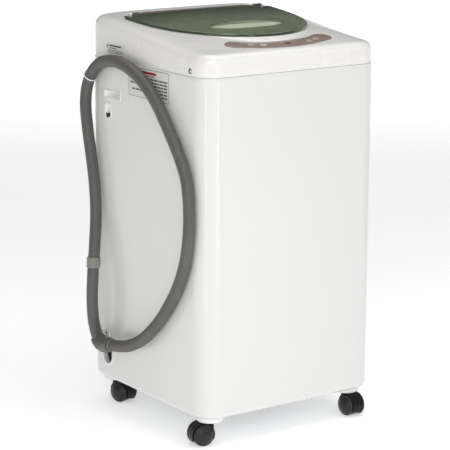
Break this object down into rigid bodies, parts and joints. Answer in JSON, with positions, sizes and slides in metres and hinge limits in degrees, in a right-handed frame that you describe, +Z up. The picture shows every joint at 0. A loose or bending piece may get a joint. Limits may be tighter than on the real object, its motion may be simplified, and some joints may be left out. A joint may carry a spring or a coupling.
{
  "type": "top load washing machine",
  "caption": "Portable top load washing machine on castors: white cabinet, see-through lid, sloped control deck, hanging tub with spin basket and pulsator, drain hose looped on one side.",
  "frame": {"origin": "on the floor, under the middle of the cabinet", "axes": "+Z up, the control deck's front faces -Y, +X to the right seen from the front"},
  "size_m": [0.511, 0.4638, 0.8721],
  "materials": {
    "painted_steel": "smooth white enamel, low gloss",
    "galvanised_steel": "galvanised grey",
    "white_plastic": "smooth moulded white",
    "taupe_plastic": "satin taupe",
    "dark_window": "smoked",
    "tub_plastic": "natural polypropylene",
    "circuit_board": "coated board",
    "bright_steel": "ground",
    "brushed_steel": "drawn and perforated",
    "green_clear_plastic": "clear green, polished",
    "blue_grey_plastic": "satin",
    "black_plastic": "semi gloss",
    "castor_wheel": "semi gloss nylon",
    "black_rubber": "matte",
    "grey_plastic": "ribbed, soft sheen"
  },
  "bodies": {
    "root": {"cabinet_wrapper": "painted_steel", "rear_panel": "painted_steel", "base_frame": "galvanised_steel", "side_grip_left": "white_plastic", "side_grip_right": "white_plastic", "hook_slot": "white_plastic", "top_cover": "white_plastic", "hose_clip": "white_plastic", "control_fascia": "taupe_plastic", "hinge_strip": "taupe_plastic", "indicator_window": "dark_window", "control_box": "tub_plastic", "control_board": "circuit_board", "hinge_pin_left": "bright_steel", "hinge_pin_right": "bright_steel", "inlet_valve": "blue_grey_plastic", "hose_hook": "blue_grey_plastic", "cord_gland": "black_plastic", "drain_elbow": "grey_plastic", "drain_hose": "grey_plastic", "hose_cuff": "grey_plastic", "hose_end_cuff": "grey_plastic", "suspension_rod_front_left": "bright_steel", "castor_boss_front_left": "white_plastic", "suspension_rod_front_right": "bright_steel", "castor_boss_front_right": "white_plastic", "suspension_rod_rear_left": "bright_steel", "castor_boss_rear_left": "white_plastic", "suspension_rod_rear_right": "bright_steel", "castor_boss_rear_right": "white_plastic"},
    "tub": {"outer_tub": "tub_plastic", "tub_ring": "tub_plastic", "bearing_housing": "galvanised_steel", "motor": "galvanised_steel", "drain_valve": "grey_plastic", "drive_belt": "black_rubber"},
    "basket": {"spin_basket": "brushed_steel", "balance_ring": "blue_grey_plastic", "lint_filter": "blue_grey_plastic"},
    "wash_drive": {"pulsator": "blue_grey_plastic", "drive_shaft": "bright_steel", "drive_pulley": "bright_steel"},
    "motor_rotor": {"motor_pulley": "bright_steel"},
    "lid_body": {"lid": "green_clear_plastic"},
    "button_power_key": {"button_power": "taupe_plastic"},
    "button_start_key": {"button_start": "taupe_plastic"},
    "button_water_level_key": {"button_water_level": "taupe_plastic"},
    "button_program_key": {"button_program": "taupe_plastic"},
    "castor_front_left": {"castor_hood_front_left": "black_plastic"},
    "castor_front_left_wheel": {"castor_wheel_front_left": "castor_wheel"},
    "castor_front_right": {"castor_hood_front_right": "black_plastic"},
    "castor_front_right_wheel": {"castor_wheel_front_right": "castor_wheel"},
    "castor_rear_left": {"castor_hood_rear_left": "black_plastic"},
    "castor_rear_left_wheel": {"castor_wheel_rear_left": "castor_wheel"},
    "castor_rear_right": {"castor_hood_rear_right": "black_plastic"},
    "castor_rear_right_wheel": {"castor_wheel_rear_right": "castor_wheel"}
  },
  "joints": [
    {"name": "lid_hinge", "type": "hinge", "parent": "root", "child": "lid_body", "pos_m": [0, 0.1305, 0.8679], "axis": [-1, 0, 0], "range_deg": [0, 95]},
    {"name": "tub_suspension", "type": "slide", "parent": "root", "child": "tub", "axis": [0, 0, 1], "range_m": [-0.01, 0.01], "stiffness_N_per_m": 9000, "springref_m": 0.0218},
    {"name": "basket_spin", "type": "hinge", "parent": "tub", "child": "basket", "pos_m": [0, 0, 0.45], "axis": [0, 0, 1], "continuous": true},
    {"name": "pulsator_spin", "type": "hinge", "parent": "tub", "child": "wash_drive", "pos_m": [0, 0, 0.25], "axis": [0, 0, 1], "continuous": true},
    {"name": "motor_spin", "type": "hinge", "parent": "tub", "child": "motor_rotor", "pos_m": [0.115, 0.06, 0.096], "axis": [0, 0, 1], "continuous": true},
    {"name": "button_power_press", "type": "slide", "parent": "root", "child": "button_power_key", "axis": [0, 0.1952, -0.9808], "range_m": [0, 0.0015], "stiffness_N_per_m": 300, "springref_m": -0.0008},
    {"name": "button_start_press", "type": "slide", "parent": "root", "child": "button_start_key", "axis": [0, 0.1952, -0.9808], "range_m": [0, 0.0015], "stiffness_N_per_m": 300, "springref_m": -0.0008},
    {"name": "button_water_level_press", "type": "slide", "parent": "root", "child": "button_water_level_key", "axis": [0, 0.1952, -0.9808], "range_m": [0, 0.0015], "stiffness_N_per_m": 300, "springref_m": -0.0008},
    {"name": "button_program_press", "type": "slide", "parent": "root", "child": "button_program_key", "axis": [0, 0.1952, -0.9808], "range_m": [0, 0.0015], "stiffness_N_per_m": 300, "springref_m": -0.0008},
    {"name": "castor_swivel_front_left", "type": "hinge", "parent": "root", "child": "castor_front_left", "pos_m": [-0.182, -0.182, 0.045], "axis": [0, 0, 1], "continuous": true},
    {"name": "castor_roll_front_left", "type": "hinge", "parent": "castor_front_left", "child": "castor_front_left_wheel", "pos_m": [-0.20156, -0.17784, 0.023], "axis": [0.2079, 0.9781, 0], "continuous": true},
    {"name": "castor_swivel_front_right", "type": "hinge", "parent": "root", "child": "castor_front_right", "pos_m": [0.182, -0.182, 0.045], "axis": [0, 0, 1], "continuous": true},
    {"name": "castor_roll_front_right", "type": "hinge", "parent": "castor_front_right", "child": "castor_front_right_wheel", "pos_m": [0.1827, -0.20199, 0.023], "axis": [-0.9994, -0.0349, 0], "continuous": true},
    {"name": "castor_swivel_rear_left", "type": "hinge", "parent": "root", "child": "castor_rear_left", "pos_m": [-0.182, 0.182, 0.045], "axis": [0, 0, 1], "continuous": true},
    {"name": "castor_roll_rear_left", "type": "hinge", "parent": "castor_rear_left", "child": "castor_rear_left_wheel", "pos_m": [-0.17649, 0.16278, 0.023], "axis": [-0.9613, -0.2756, 0], "continuous": true},
    {"name": "castor_swivel_rear_right", "type": "hinge", "parent": "root", "child": "castor_rear_right", "pos_m": [0.182, 0.182, 0.045], "axis": [0, 0, 1], "continuous": true},
    {"name": "castor_roll_rear_right", "type": "hinge", "parent": "castor_rear_right", "child": "castor_rear_right_wheel", "pos_m": [0.20079, 0.17516, 0.023], "axis": [-0.342, -0.9397, 0], "continuous": true}
  ],
  "couplings": [
    {"joint": "motor_spin", "follows": "pulsator_spin", "ratio": 3}
  ]
}
